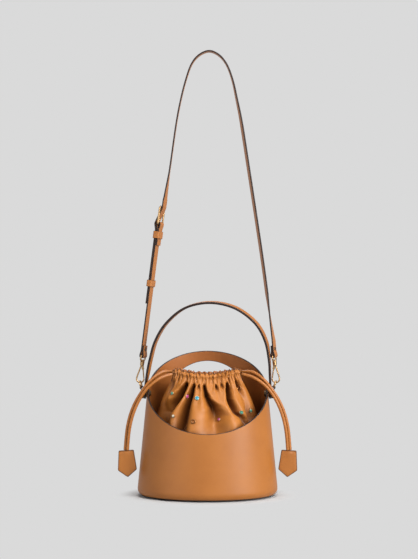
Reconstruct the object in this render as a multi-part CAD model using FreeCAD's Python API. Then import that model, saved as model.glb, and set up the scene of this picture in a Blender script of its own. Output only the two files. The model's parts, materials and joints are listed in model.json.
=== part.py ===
"""Bucket bag: an oval tapered leather bucket with a scooped rim, a gathered pouch inside,
a riveted top handle and a shoulder strap on snap hooks.

Millimetres. Origin on the floor under the middle of the base, +Z up, +X to the wearer's left
when the scooped side faces the viewer (-Y), which puts the strap buckle at -X.
"""
import FreeCAD
import Part
import math
import os
from FreeCAD import Placement, Rotation, Vector

os.makedirs("parts", exist_ok=True)

X = Vector(1, 0, 0)
Y = Vector(0, 1, 0)
Z = Vector(0, 0, 1)

# Bucket wall
BASE_WIDTH = 230.0
BASE_DEPTH = 178.0
WIDEST_Z = 8.0
TAPER = 0.099
SHELL = 1.8
LINING = 1.2
EDGE_RADIUS = 13.0
TURN_IN = 20.0
RIM_SIDE_Z = 175.4
RIM_SLOPE = 0.8624
LOFT_TOP = 245.0

# Hand hole in the high back wall
HAND_HALF = 45.0
HAND_TOP_Z = 217.0
HAND_CORNER_Z = 201.5
HAND_LOW_Z = 187.0

# Base stack
BOARD = 2.0
BOARD_INSET = 16.0
BASE_FLOOR_Z = SHELL + BOARD + LINING

# Pouch: height, half width, half depth, dip of the ring at the middle of front and back
POUCH_RINGS = [
    (BASE_FLOOR_Z, 93.0, 68.0, 0.0),
    (60.0, 99.0, 73.5, 0.0),
    (110.0, 90.0, 68.0, 0.0),
    (150.0, 76.0, 52.0, 2.0),
    (183.0, 61.0, 32.0, 6.0),
    (200.0, 51.0, 18.0, 9.5),
    (209.0, 54.5, 21.5, 10.5),
    (226.0, 58.0, 24.0, 4.0),
]
POUCH_X = -1.0
POUCH_WALL = 1.8
NECK_Z = 200.5
NECK_DIP = 9.5
MOUTH_DIP = 10.5
MOUTH_Z = 198.5

# Drawcords and their tabs
CORD = 5.0
CASING_WALL = 1.0
CASING_X = 54.4
CASING_Y = 21.4
TAB_TOP_WIDTH = 24.6
TAB_WIDEST = 31.0
TAB_SHOULDER = 31.0
TAB_LENGTH = 43.0
TAB_TILT = 3.6
TAB_PANEL = 2.3
TAB_CENTRE = Vector(-132.6, -14.6, 73.6)

# Rivet axis at the sides: handle, ring tab and strap all turn about it
PIVOT_Z = 166.0
PIN_RADIUS = 2.0
PIN_PLAY = 0.05
HANDLE_X = 102.8
HANDLE_WIDTH = 15.0
HANDLE_LAYER = 1.9
HANDLE_LEAN = 6.0
HANDLE_YAW = 15.0
RING_TAB_X = 105.0
RING_TAB_LAYER = 1.2
LOOP_HOLE = 2.0

# Rings and the line each hook hangs on
RING_TOP = {"left": Vector(-110.9, 0, 186.5), "right": Vector(112.2, 0, 186.4)}
RING_LOW_X = 108.3
RING_LOW_Z = 175.4
RING_WIRE = 1.2
RING_YAW = 10.0
LEFT_TILT = 7.3
RIGHT_TILT = -4.5
LEFT_YAW = 20.0
RIGHT_YAW = 20.0
BACK_TWIST = -11.0

# Straps
STRAP_WIDTH = 16.0
STRAP = 2.4
EYE_BAR_U = 41.5
EYE_WIRE = 1.25
FOLD_RADIUS = 2.65
LAYER_N = 1.25
HEEL_U = 259.0
BUCKLE_U = 287.0
BUCKLE_WIRE = 1.5
BUCKLE_HALF = 10.4
TAIL_N = 3.75
TAIL_END_U = 127.3
SHORT_TAIL_U = 224.0

# Hook bow
BOW = 5.9
BOW_LOW_U = -2.6
HOOK_WIRE = 1.2
GATE_N = -2.4
GATE_U = 20.5


def save(name, shape):
    """One STEP file for one named piece."""
    shape.exportStep("parts/%s.step" % name)
    solids = shape.Solids
    if not shape.isValid() or not solids:
        print("check", name, shape.isValid(), len(solids))


def mirrored(shape):
    """The same piece on the other side of the bag."""
    return shape.mirror(Vector(0, 0, 0), X)


def save_pair(name, left):
    save(name + "_left", left)
    save(name + "_right", mirrored(left))


def oval(semi_x, semi_y, z):
    return Part.Wire([Part.Ellipse(Vector(0, 0, z), semi_x, semi_y).toShape()])


def wall_x(z):
    return BASE_WIDTH / 2 - TAPER * (z - WIDEST_Z)


def wall_y(z):
    return BASE_DEPTH / 2 - TAPER * (z - WIDEST_Z)


def bucket_volume(inset, bottom, corner):
    """Solid inside the wall surface moved inwards, with a rounded bottom edge."""
    rings = [oval(wall_x(z) - inset, wall_y(z) - inset, z) for z in (bottom, LOFT_TOP)]
    solid = Part.makeLoft(rings, True, True)
    low = [edge for edge in solid.Edges if edge.BoundBox.ZMax < bottom + 0.01]
    return solid.makeFillet(corner, low)


def above_rim():
    block = Part.makeBox(600, 600, 400, Vector(-300, -300, 0))
    tilt = math.degrees(math.atan(RIM_SLOPE))
    block.Placement = Placement(Vector(0, 0, RIM_SIDE_Z), Rotation(X, tilt))
    return block


def hand_hole():
    corners = [Vector(-HAND_HALF, 30, HAND_CORNER_Z), Vector(HAND_HALF, 30, HAND_CORNER_Z)]
    top = Part.Arc(corners[0], Vector(0, 30, HAND_TOP_Z), corners[1]).toShape()
    low = Part.Arc(corners[1], Vector(0, 30, HAND_LOW_Z), corners[0]).toShape()
    return Part.Face(Part.Wire([top, low])).extrude(Vector(0, 70, 0))


def plate(semi_x, semi_y, low, high):
    return Part.Face(oval(semi_x, semi_y, low)).extrude(Vector(0, 0, high - low))


def along_x(radius, x0, x1, z=PIVOT_Z):
    return Part.makeCylinder(radius, x1 - x0, Vector(x0, 0, z), X)


def both_sides(shape):
    return shape.fuse(mirrored(shape))


def rounded_path(points, radii):
    """Straight runs joined by tangent arcs; one radius for each inner corner."""
    edges = []
    start = points[0]
    for i in range(1, len(points) - 1):
        back = (points[i - 1] - points[i]).normalize()
        ahead = (points[i + 1] - points[i]).normalize()
        half_turn = (math.pi - back.getAngle(ahead)) / 2
        reach = radii[i - 1] * math.tan(half_turn)
        first = points[i] + back * reach
        last = points[i] + ahead * reach
        centre_way = (back + ahead).normalize()
        centre = points[i] + centre_way * (radii[i - 1] / math.cos(half_turn))
        middle = centre - centre_way * radii[i - 1]
        if (first - start).Length > 0.001:
            edges.append(Part.LineSegment(start, first).toShape())
        edges.append(Part.Arc(first, middle, last).toShape())
        start = last
    if (points[-1] - start).Length > 0.001:
        edges.append(Part.LineSegment(start, points[-1]).toShape())
    return Part.Wire(edges)


def wire_sweep(path, radius):
    """Round wire or cord along a path."""
    first = path.Edges[0]
    point = first.valueAt(first.FirstParameter)
    way = first.tangentAt(first.FirstParameter)
    ring = Part.Wire([Part.Circle(point, way, radius).toShape()])
    return path.makePipeShell([ring], True, False)


def section(centre, tangent, across, width, thick, shift=0.0):
    """Rectangle across a strap: width along `across`, thickness on the third direction."""
    w = (across - tangent * across.dot(tangent)).normalize()
    n = w.cross(tangent).normalize()
    mid = centre + n * shift
    signs = [(-1, -1), (1, -1), (1, 1), (-1, 1), (-1, -1)]
    return Part.makePolygon([mid + w * (a * width / 2) + n * (b * thick / 2) for a, b in signs])


def band_sweep(path, width, thick, across):
    """Flat leather along a path that stays in one plane."""
    first = path.Edges[0]
    point = first.valueAt(first.FirstParameter)
    way = first.tangentAt(first.FirstParameter)
    return path.makePipeShell([section(point, way, across, width, thick)], True, False)


def twisted_band(curve, count, yaw_at, width, thick, shift=0.0):
    """Flat leather along a curve; `yaw_at` gives the turn of its width about the vertical."""
    low, high = curve.FirstParameter, curve.LastParameter
    wires = []
    for i in range(count + 1):
        p = low + (high - low) * i / count
        centre = curve.value(p)
        way = Vector(*curve.tangent(p)[0])
        yaw = math.radians(yaw_at(centre))
        across = Vector(math.sin(yaw), math.cos(yaw), 0)
        wires.append(section(centre, way, across, width, thick, shift))
    return Part.makeLoft(wires, True, True)


def spline(points, tangents=None):
    curve = Part.BSplineCurve()
    if tangents is None:
        curve.interpolate(points)
    else:
        curve.interpolate(Points=points, InitialTangent=tangents[0], FinalTangent=tangents[1])
    return curve


# ---------------------------------------------------------------- bucket
outer_volume = bucket_volume(0.0, 0.0, EDGE_RADIUS)
shell_inside = bucket_volume(SHELL, SHELL, EDGE_RADIUS - SHELL)
rim_block = above_rim()
hole = hand_hole()
pin_holes = both_sides(along_x(PIN_RADIUS, 90, 110))
foot_x = wall_x(0) - TURN_IN
foot_y = wall_y(0) - TURN_IN

shell = outer_volume.cut(shell_inside).cut(rim_block).cut(hole).cut(pin_holes)
save("bucket_shell", shell.cut(plate(foot_x, foot_y, -1, SHELL + 1)))
save("base_panel", plate(foot_x, foot_y, 0, SHELL))
board_x = wall_x(0) - BOARD_INSET
board_y = wall_y(0) - BOARD_INSET
save("base_board", plate(board_x, board_y, SHELL, SHELL + BOARD))
save("base_lining", plate(board_x + 2, board_y + 2, SHELL + BOARD, BASE_FLOOR_Z).common(shell_inside))

lining_rings = [oval(wall_x(z) - SHELL - LINING, wall_y(z) - SHELL - LINING, z) for z in (0, LOFT_TOP)]
lining_inside = Part.makeLoft(lining_rings, True, True)
lining = shell_inside.cut(lining_inside).cut(rim_block).cut(hole).cut(pin_holes)
save("bucket_lining", lining.cut(plate(200, 180, -1, BASE_FLOOR_Z)))


# ---------------------------------------------------------------- pouch
def pouch_ring(z, semi_x, semi_y, dip, count=24):
    points = []
    for i in range(count):
        a = 2 * math.pi * i / count
        low = dip * math.sin(a) ** 2
        points.append(Vector(POUCH_X + semi_x * math.cos(a), semi_y * math.sin(a), z - low))
    return points


def closed_wire(points):
    curve = Part.BSplineCurve()
    curve.interpolate(Points=points, PeriodicFlag=True)
    return Part.Wire([curve.toShape()])


def pouch_volume(inset, bottom):
    wires = [closed_wire(pouch_ring(bottom, POUCH_RINGS[0][1] - inset, POUCH_RINGS[0][2] - inset, 0))]
    for z, semi_x, semi_y, dip in POUCH_RINGS[1:]:
        wires.append(closed_wire(pouch_ring(z, semi_x - inset, semi_y - inset, dip)))
    flat = POUCH_RINGS[-1]
    wires.append(closed_wire(pouch_ring(flat[0] + 10, flat[1] - inset, flat[2] - inset, 0)))
    return Part.makeLoft(wires, True, False)


mouth_radius = (56.0 ** 2) / (2 * MOUTH_DIP)
mouth_cut = Part.makeCylinder(mouth_radius, 200, Vector(0, -100, MOUTH_Z + mouth_radius), Y)
pouch_outside = pouch_volume(0.0, BASE_FLOOR_Z)
pouch_inside = pouch_volume(POUCH_WALL, BASE_FLOOR_Z + POUCH_WALL)
pouch = pouch_outside.cut(pouch_inside).cut(mouth_cut)
save("pouch_body", pouch)


def neck_arc(start, end, extra=0.0):
    """Part of the ring the drawcord lies in, from one angle to another, in degrees."""
    points = []
    for i in range(13):
        a = math.radians(start + (end - start) * i / 12)
        z = NECK_Z - NECK_DIP * math.sin(a) ** 2
        points.append(Vector(POUCH_X + (CASING_X + extra) * math.cos(a), (CASING_Y + extra) * math.sin(a), z))
    return Part.Wire([spline(points).toShape()])


for name, start, end in (("front", 200, 340), ("back", 20, 160)):
    path = neck_arc(start, end)
    hollow = wire_sweep(path, CORD / 2 + 0.3)
    casing = wire_sweep(path, CORD / 2 + 0.3 + CASING_WALL).cut(hollow).cut(pouch_outside)
    save("cord_casing_" + name, casing)
    save("drawcord_run_" + name, wire_sweep(neck_arc(start - 2, end + 2), CORD / 2))


# ---------------------------------------------------------------- free cord ends
BACK_END = [
    Vector(-56.5, 5.5, 201), Vector(-70, -1, 203.5), Vector(-83, -7, 197), Vector(-95, -12, 186.5),
    Vector(-105, -15, 173.5), Vector(-116, -16, 157), Vector(-125, -15.5, 137), Vector(-130.5, -14.5, 116),
    Vector(-133.2, -13.6, 95), Vector(-134.6, -13.1, 75),
]
FRONT_END = [
    Vector(-56.5, -6.5, 198), Vector(-68.5, -13, 196), Vector(-81.5, -18, 190), Vector(-94.5, -20.5, 180),
    Vector(-105, -21, 167.5), Vector(-114, -20.8, 152), Vector(-121.3, -20, 134), Vector(-126.2, -18.8, 115),
    Vector(-129, -17.3, 95), Vector(-130.3, -16.1, 75),
]


def cord_radii(points):
    radii = []
    for i in range(1, len(points) - 1):
        back = points[i - 1] - points[i]
        ahead = points[i + 1] - points[i]
        half_turn = (math.pi - back.getAngle(ahead)) / 2
        radii.append(0.45 * min(back.Length, ahead.Length) / math.tan(half_turn))
    return radii


for name, points in (("cord_end_back", BACK_END), ("cord_end_front", FRONT_END)):
    radii = cord_radii(points)
    path = rounded_path(points, radii)
    print(name, "length %.1f" % path.Length, "radii", ["%.0f" % r for r in radii])
    save_pair(name, wire_sweep(path, CORD / 2))

half_top = TAB_TOP_WIDTH / 2
half_wide = TAB_WIDEST / 2
outline = [
    (-half_top, 0), (half_top, 0), (half_wide, -TAB_SHOULDER), (0, -TAB_LENGTH),
    (-half_wide, -TAB_SHOULDER), (-half_top, 0),
]
for name, y0 in (("front", -TAB_PANEL), ("back", 0.0)):
    face = Part.Face(Part.makePolygon([Vector(x, y0, z) for x, z in outline]))
    panel = face.extrude(Vector(0, TAB_PANEL, 0))
    panel.Placement = Placement(TAB_CENTRE, Rotation(Y, -TAB_TILT))
    save_pair("cord_tab_" + name, panel)


# ---------------------------------------------------------------- rivets and ring tabs
cap = along_x(4.6, -109.2, -107.7)
dome = Part.makeSphere(9.0, Vector(-101.2, 0, PIVOT_Z)).common(along_x(4.6, -111, -109.2))
rivet = along_x(PIN_RADIUS, -107.9, -93.0).fuse(cap).fuse(dome).fuse(along_x(4.0, -94.0, -92.6))
save_pair("pivot_rivet", rivet)
backing = along_x(5.5, -99, -94.0).cut(along_x(PIN_RADIUS, -99, -93)).common(lining_inside)
save_pair("rivet_washer", backing)
spacer = along_x(6.0, -100.6, -97).cut(along_x(PIN_RADIUS, -101, -96)).cut(outer_volume)
save_pair("rivet_spacer", spacer)

loop_radius = LOOP_HOLE + RING_TAB_LAYER
loop_x = -(RING_TAB_X + loop_radius)
loop_z = RING_LOW_Z + 0.35
loop_at = Vector(loop_x, -8, loop_z)
leg = Part.makeBox(2 * RING_TAB_LAYER, 16, 16.5, Vector(-RING_TAB_X - 2 * RING_TAB_LAYER, -8, 157.5))
folded = leg.fuse(Part.makeCylinder(loop_radius, 16, loop_at, Y))
folded = folded.cut(Part.makeCylinder(LOOP_HOLE, 16, loop_at, Y))
side = [(6, 164), (6, 168.5), (2.8, 172.5), (2.8, 180), (-2.8, 180), (-2.8, 172.5), (-6, 168.5), (-6, 164)]
straight = [Vector(-115, y, z) for y, z in side]
lower = Part.Arc(straight[-1], Vector(-115, 0, 158), straight[0]).toShape()
tab_edges = [Part.LineSegment(a, b).toShape() for a, b in zip(straight, straight[1:])]
tab_face = Part.Face(Part.Wire(tab_edges + [lower]))
ring_tab = folded.common(tab_face.extrude(Vector(15, 0, 0)))
save_pair("ring_tab", ring_tab.cut(along_x(PIN_RADIUS + PIN_PLAY, -115, -100)))


def ring(side_name):
    """Welded ring, leaning outwards and turned a little about its own upright."""
    top = RING_TOP[side_name]
    low = Vector(math.copysign(RING_LOW_X, top.x), 0, RING_LOW_Z)
    upright = (top - low).normalize()
    facing = (X - upright * X.dot(upright)).normalize()
    yaw = math.radians(RING_YAW)
    normal = facing * math.cos(yaw) - Y * math.sin(yaw)
    radius = (top - low).Length / 2
    return Part.makeTorus(radius, RING_WIRE, (top + low) * 0.5, normal)


save("ring_left", ring("left"))
save("ring_right", ring("right"))

# ---------------------------------------------------------------- top handle
HANDLE_LINE = [
    (-HANDLE_X, 157.5), (-HANDLE_X, 162), (-HANDLE_X, 166), (-102.7, 171), (-100.4, 185), (-97.2, 202),
    (-92.6, 224), (-84.0, 253.6), (-66.0, 283), (-35.7, 307.5), (4.3, 316.2), (45.3, 307.5), (78.3, 283),
    (95.0, 253.6), (100.6, 224), (102.2, 196), (102.7, 176), (HANDLE_X, 166), (HANDLE_X, 162),
    (HANDLE_X, 157.5),
]


def handle_yaw(point):
    """No turn near the rivets; the full turn sooner on the left, where the hook hangs further out."""
    if point.x < 0:
        return HANDLE_YAW * max(0.0, min(1.0, (point.z - 174.0) / 30.0))
    slight = max(0.0, min(1.0, (point.z - 178.0) / 18.0))
    full = max(0.0, min(1.0, (point.z - 212.0) / 35.0))
    return HANDLE_YAW * (slight + 2 * full) / 3


handle_curve = spline([Vector(x, 0, z) for x, z in HANDLE_LINE])
lean = Rotation(X, HANDLE_LEAN)
pivot_turn = Placement(Vector(0, 0, 0), lean, Vector(0, 0, PIVOT_Z))
below = Part.makeBox(240, 30, 12, Vector(-120, -15, PIVOT_Z - 12))
end_trim = below.cut(Part.makeCylinder(HANDLE_WIDTH / 2, 240, Vector(-120, 0, PIVOT_Z), X))
handle_hole = along_x(PIN_RADIUS + PIN_PLAY, -120, 120)
for name, shift in (("handle_outer", -HANDLE_LAYER / 2), ("handle_lining", HANDLE_LAYER / 2)):
    layer = twisted_band(handle_curve, 56, handle_yaw, HANDLE_WIDTH, HANDLE_LAYER, shift)
    layer = layer.cut(end_trim).cut(handle_hole)
    layer.Placement = pivot_turn.multiply(layer.Placement)
    save(name, layer)

# ---------------------------------------------------------------- hook lines
left_line = Placement(RING_TOP["left"], Rotation(Y, LEFT_TILT))
right_line = Placement(RING_TOP["right"], Rotation(Y, RIGHT_TILT))


def turned(line, degrees):
    return line.multiply(Placement(Vector(0, 0, 0), Rotation(Z, degrees)))


LINES = {
    "left": (turned(left_line, 180), turned(left_line, 180 - LEFT_YAW)),
    "right": (right_line, turned(right_line, -RIGHT_YAW)),
}


def placed(shape, place):
    copy = shape.copy()
    copy.Placement = place.multiply(copy.Placement)
    return copy


# Local frame of a hook line: x away from the bag, y along the strap width, z up the line
# from the top of the ring.
def hook_eye():
    corners = [(-2.6, 31.8), (-9.5, 35.5), (-9.5, EYE_BAR_U), (9.5, EYE_BAR_U), (9.5, 35.5), (2.6, 31.8)]
    path = rounded_path([Vector(0, y, u) for y, u in corners], [3.0, 2.2, 2.2, 3.0])
    collar = Part.makeCylinder(3.5, 4.6, Vector(0, 0, 29.0))
    bore = Part.makeCylinder(1.5 + PIN_PLAY, 8, Vector(0, 0, 28))
    return collar.fuse(wire_sweep(path, EYE_WIRE)).cut(bore)


def hook_body():
    points = [(0, 26.5), (2.0, 22), (BOW, 5.2), (BOW, BOW_LOW_U), (-BOW, BOW_LOW_U), (-BOW, 4.6)]
    path = rounded_path([Vector(n, 0, u) for n, u in points], [5.0, 12.0, BOW, BOW])
    bow = wire_sweep(path, HOOK_WIRE)
    shoulder = Part.makeCone(2.2, 3.3, 3.2, Vector(0, 0, 23.6))
    shoulder = shoulder.fuse(Part.makeCylinder(3.3, 1.9, Vector(0, 0, 26.8)))
    stem = Part.makeCylinder(1.5, 8, Vector(0, 0, 26.5))
    head = Part.makeCylinder(2.4, 1.5, Vector(0, 0, 33.9))
    cheek = Part.makeCylinder(1.9, 4.6, Vector(GATE_N, -2.3, GATE_U), Y)
    cheek = cheek.fuse(Part.makeBox(3.4, 4.6, 4.6, Vector(-3.4, -2.3, GATE_U)))
    slot = Part.makeBox(4.6, 2.8, 6.4, Vector(-4.9, -1.4, GATE_U - 3.4))
    pin_hole = Part.makeCylinder(0.6, 5, Vector(GATE_N, -2.5, GATE_U), Y)
    body = bow.fuse([shoulder, stem, head, cheek.cut(slot)])
    return body.cut(slot.common(cheek)).cut(pin_hole)


def hook_gate():
    path = Part.Wire([Part.LineSegment(Vector(GATE_N, 0, GATE_U), Vector(-5.8, 0, 5.15)).toShape()])
    eye = Part.makeCylinder(1.3, 2.3, Vector(GATE_N, -1.15, GATE_U), Y)
    pin_hole = Part.makeCylinder(0.6 + PIN_PLAY, 5, Vector(GATE_N, -2.5, GATE_U), Y)
    return wire_sweep(path, 1.05).fuse(eye).cut(pin_hole)


def fold(up, tail):
    """Path of a strap end round the hook eye bar, from the long side to the end of the tail."""
    low = EYE_BAR_U - FOLD_RADIUS
    points = [
        (LAYER_N, up), (LAYER_N, EYE_BAR_U + 8.5), (FOLD_RADIUS, EYE_BAR_U + 2), (FOLD_RADIUS, low),
        (-FOLD_RADIUS, low), (-FOLD_RADIUS, EYE_BAR_U + 2), (-LAYER_N, EYE_BAR_U + 8.5), (-LAYER_N, tail),
    ]
    return [Vector(n, 0, u) for n, u in points]


strap_hole = Part.makeCylinder(1.0, 20, Vector(-10, 0, 53), X)


def strap_rivet():
    shank = Part.makeCylinder(1.0, 6.6, Vector(-3.3, 0, 53), X)
    front = Part.makeCylinder(2.8, 0.8, Vector(LAYER_N + STRAP / 2, 0, 53), X)
    rear = Part.makeCylinder(2.8, 0.8, Vector(-LAYER_N - STRAP / 2 - 0.8, 0, 53), X)
    return shank.fuse(front).fuse(rear)


for side_name, (plain, yawed) in LINES.items():
    save("hook_eye_" + side_name, placed(hook_eye(), yawed))
    save("hook_body_" + side_name, placed(hook_body(), plain))
    save("hook_gate_" + side_name, placed(hook_gate(), plain))
    gate_pin = Part.makeCylinder(0.6, 4.8, Vector(GATE_N, -2.4, GATE_U), Y)
    save("gate_pin_" + side_name, placed(gate_pin, plain))
    save("strap_rivet_" + side_name, placed(strap_rivet(), yawed))

# ---------------------------------------------------------------- short strap and buckle
hook_fold = fold(70, 58.5)
buckle_side = [
    Vector(LAYER_N, 0, HEEL_U - 8.5), Vector(FOLD_RADIUS + 0.1, 0, HEEL_U - 2),
    Vector(FOLD_RADIUS + 0.1, 0, HEEL_U + FOLD_RADIUS + 0.1),
    Vector(-FOLD_RADIUS - 0.1, 0, HEEL_U + FOLD_RADIUS + 0.1),
    Vector(-FOLD_RADIUS - 0.1, 0, HEEL_U - 2), Vector(-LAYER_N, 0, HEEL_U - 8.5),
    Vector(-LAYER_N, 0, SHORT_TAIL_U),
]
short_points = hook_fold[:0:-1] + buckle_side
fold_out = [8.0, 4.0, FOLD_RADIUS, FOLD_RADIUS, 4.0, 8.0]
heel_out = [8.0, 4.0, FOLD_RADIUS + 0.1, FOLD_RADIUS + 0.1, 4.0, 8.0]
short_path = rounded_path(short_points, fold_out + heel_out)
strap_short = band_sweep(short_path, STRAP_WIDTH, STRAP, Y).cut(strap_hole)
prong_gap = Part.makeBox(12, 3.6, 9, Vector(-6, -1.8, HEEL_U - 3.5))
left_yawed = LINES["left"][1]
right_yawed = LINES["right"][1]
save("strap_short", placed(strap_short.cut(prong_gap), left_yawed))


def buckle_frame():
    corners = [
        (0, HEEL_U), (BUCKLE_HALF, HEEL_U), (BUCKLE_HALF, BUCKLE_U), (-BUCKLE_HALF, BUCKLE_U),
        (-BUCKLE_HALF, HEEL_U), (0, HEEL_U),
    ]
    path = rounded_path([Vector(0, y, u) for y, u in corners], [2.2, 3.5, 3.5, 2.2])
    return wire_sweep(path, BUCKLE_WIRE)


def buckle_prong():
    eye = Part.makeCylinder(2.7, 2.4, Vector(0, -1.2, HEEL_U), Y)
    arm = Part.Wire([Part.LineSegment(Vector(1.7, 0, HEEL_U), Vector(2.85, 0, BUCKLE_U + 2.2)).toShape()])
    bore = Part.makeCylinder(BUCKLE_WIRE + PIN_PLAY, 4, Vector(0, -2, HEEL_U), Y)
    tip = Part.makeSphere(1.0, Vector(2.85, 0, BUCKLE_U + 2.2))
    return wire_sweep(arm, 1.0).fuse(eye).fuse(tip).cut(bore)


def keeper(u_low, height, n_low, n_high, play):
    """Leather loop round the layers between n_low and n_high."""
    wall = 1.6
    half = STRAP_WIDTH / 2 + play
    depth = n_high - n_low + 2 * play
    inner = Part.makeBox(depth, 2 * half, height + 2, Vector(n_low - play, -half, u_low - 1))
    corner = Vector(n_low - play - wall, -half - wall, u_low)
    block = Part.makeBox(depth + 2 * wall, 2 * (half + wall), height, corner)
    upright = [e for e in block.Edges if abs(e.tangentAt(e.FirstParameter).z) > 0.9]
    return block.makeFillet(1.2, upright).cut(inner)


save("buckle_frame", placed(buckle_frame(), left_yawed))
save("buckle_prong", placed(buckle_prong(), left_yawed))
tail_top = TAIL_N + STRAP / 2
save("keeper_fixed", placed(keeper(235, 12, -LAYER_N - STRAP / 2, tail_top, 0.1), left_yawed))
save("keeper_sliding", placed(keeper(155.5, 11, LAYER_N - STRAP / 2, tail_top, 0.4), left_yawed))

# ---------------------------------------------------------------- long strap
END_U = 66.0
right_fold = rounded_path(fold(END_U, 58.5), fold_out[::-1])
right_end = placed(band_sweep(right_fold, STRAP_WIDTH, STRAP, Y).cut(strap_hole), right_yawed)
tail_points = [
    (TAIL_N, TAIL_END_U), (TAIL_N, 250), (6.3, 259.5), (-3.2, 286), (-3.3, 300),
]
tail_path = rounded_path([Vector(n, 0, u) for n, u in tail_points], [20, 6, 12])
pin_slot = Part.makeBox(16, 3.6, 15.5, Vector(-6, -1.8, 261.5))
tail = band_sweep(tail_path, STRAP_WIDTH, STRAP, Y).cut(pin_slot)
left_end = placed(tail, left_yawed)

right_start = right_yawed.multVec(Vector(LAYER_N, 0, END_U))
right_way = right_yawed.Rotation.multVec(Z)
left_stop = left_yawed.multVec(Vector(-3.3, 0, 300))
left_way = left_yawed.Rotation.multVec(Vector(0.1, 0, -14).normalize())
STRAP_LINE = [
    (102.0, 293), (91.5, 372), (80.0, 450), (67.9, 529), (55.6, 608), (48.0, 647), (41.0, 679),
    (31.5, 704.5), (18.5, 720.5), (2.0, 727), (-15.0, 719.5), (-27.0, 704), (-36.4, 677), (-44.4, 645),
    (-51.7, 606), (-61.2, 539),
]
strap_points = [right_start] + [Vector(x, 0, z) for x, z in STRAP_LINE] + [left_stop]
strap_curve = spline(strap_points, (right_way * 40, left_way * 40))


def strap_yaw(point):
    """Turned one way at the hooks, the other way up the right side, square to the bag at the top."""
    if point.x < 0:
        return LEFT_YAW * (1 - max(0.0, min(1.0, (point.z - 476.0) / 52.0)))
    twist = max(0.0, min(1.0, (point.z - 250.0) / 80.0))
    square = max(0.0, min(1.0, (point.z - 600.0) / 110.0))
    return (RIGHT_YAW + (BACK_TWIST - RIGHT_YAW) * twist) * (1 - square)


strap_main = twisted_band(strap_curve, 60, strap_yaw, STRAP_WIDTH, STRAP)
strap_long = right_end.fuse(strap_main).fuse(left_end)
print("long strap", strap_long.isValid(), len(strap_long.Solids), "curve %.0f" % strap_curve.length())
save("strap_long", strap_long)

# ---------------------------------------------------------------- stones and eyelets on the pouch
GEMS = {
    "stones_green": [(-57.5, 168.0, 2.6), (54.5, 138.5, 3.0), (70.0, 139.0, 2.6)],
    "stones_magenta": [(-33.5, 164.0, 3.2), (18.5, 127.5, 2.6)],
    "stones_turquoise": [(-17.0, 161.5, 3.6)],
    "stones_clear": [(-55.5, 133.0, 2.4)],
}
EYELETS = [(-22.5, 126.0), (51.5, 176.0)]
SETTING_RIM = 0.9


def on_pouch(x, z):
    """Point and outward direction on the front of the pouch."""
    hits = []
    for dx, dz in ((0, 0), (2, 0), (0, 2)):
        ray = Part.LineSegment(Vector(x + dx, -120, z + dz), Vector(x + dx, 0, z + dz)).toShape()
        inside = ray.common(pouch_outside)
        hits.append(min((v.Point for v in inside.Vertexes), key=lambda p: p.y))
    way = (hits[2] - hits[0]).cross(hits[1] - hits[0]).normalize()
    if way.y > 0:
        way = way * -1
    return hits[0], way


settings = []
for name, stones in GEMS.items():
    cut_stones = []
    for x, z, radius in stones:
        point, way = on_pouch(x, z)
        seat = Part.makeCylinder(radius + SETTING_RIM, 2.4, point - way * 0.9, way)
        pocket = Part.makeCylinder(radius, 3, point + way * 0.5, way)
        settings.append(seat.cut(pocket).cut(pouch_outside))
        girdle = Part.makeCylinder(radius, 0.9, point + way * 0.5, way)
        crown = Part.makeCone(radius, radius * 0.55, 1.3, point + way * 1.4, way)
        cut_stones.append(girdle.fuse(crown).cut(pouch_outside))
    save(name, Part.makeCompound(cut_stones))
save("stone_settings", Part.makeCompound(settings))

eyelets = []
for x, z in EYELETS:
    point, way = on_pouch(x, z)
    eyelet = Part.makeCylinder(3.4, 1.6, point - way * 0.6, way)
    eyelets.append(eyelet.cut(Part.makeCylinder(1.6, 6, point - way * 2, way)).cut(pouch_outside))
save("eyelets", Part.makeCompound(eyelets))
print("parts written")
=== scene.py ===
"""Bucket bag: leather pieces, hardware finish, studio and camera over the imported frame."""
import bpy
import json
import math
from mathutils import Matrix, Vector, noise
from mathutils.bvhtree import BVHTree


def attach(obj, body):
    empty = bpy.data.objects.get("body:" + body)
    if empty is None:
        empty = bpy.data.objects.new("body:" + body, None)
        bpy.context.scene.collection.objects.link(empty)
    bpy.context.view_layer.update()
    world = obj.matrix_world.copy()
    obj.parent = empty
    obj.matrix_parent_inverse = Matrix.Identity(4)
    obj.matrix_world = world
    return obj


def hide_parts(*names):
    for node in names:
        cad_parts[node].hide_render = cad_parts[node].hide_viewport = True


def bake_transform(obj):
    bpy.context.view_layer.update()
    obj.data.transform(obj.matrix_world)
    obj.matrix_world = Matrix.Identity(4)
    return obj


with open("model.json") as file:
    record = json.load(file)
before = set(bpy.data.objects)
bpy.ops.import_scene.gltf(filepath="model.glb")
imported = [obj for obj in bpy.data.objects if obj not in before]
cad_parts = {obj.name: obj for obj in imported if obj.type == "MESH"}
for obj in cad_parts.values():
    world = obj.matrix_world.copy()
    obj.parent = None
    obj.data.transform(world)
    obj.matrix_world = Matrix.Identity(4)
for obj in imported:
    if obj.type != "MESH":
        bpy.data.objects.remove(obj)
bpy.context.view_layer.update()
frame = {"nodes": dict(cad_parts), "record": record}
NODES = frame["nodes"]
MM = 0.001

# Bucket, the same sizes as the solids (millimetres)
BASE_HALF_X = 115.0
BASE_HALF_Y = 89.0
WIDEST_Z = 8.0
TAPER = 0.099
RIM_Z = 175.4
RIM_SLOPE = 0.8624
WALL = 3.0
CORNER = 13.0
# Height below which the wall is drawn dark: painted shade where the base turns under.
BASE_SHADE_Z = 3.2
PIVOT_Z = 166.0
BACKDROP = 0.701


# ---------------------------------------------------------------- small helpers
def mix(a, b, t):
    return a + (b - a) * t


def clamp(v, low=0.0, high=1.0):
    return max(low, min(high, v))


def smooth(v, low, high):
    t = clamp((v - low) / (high - low))
    return t * t * (3 - 2 * t)


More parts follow.
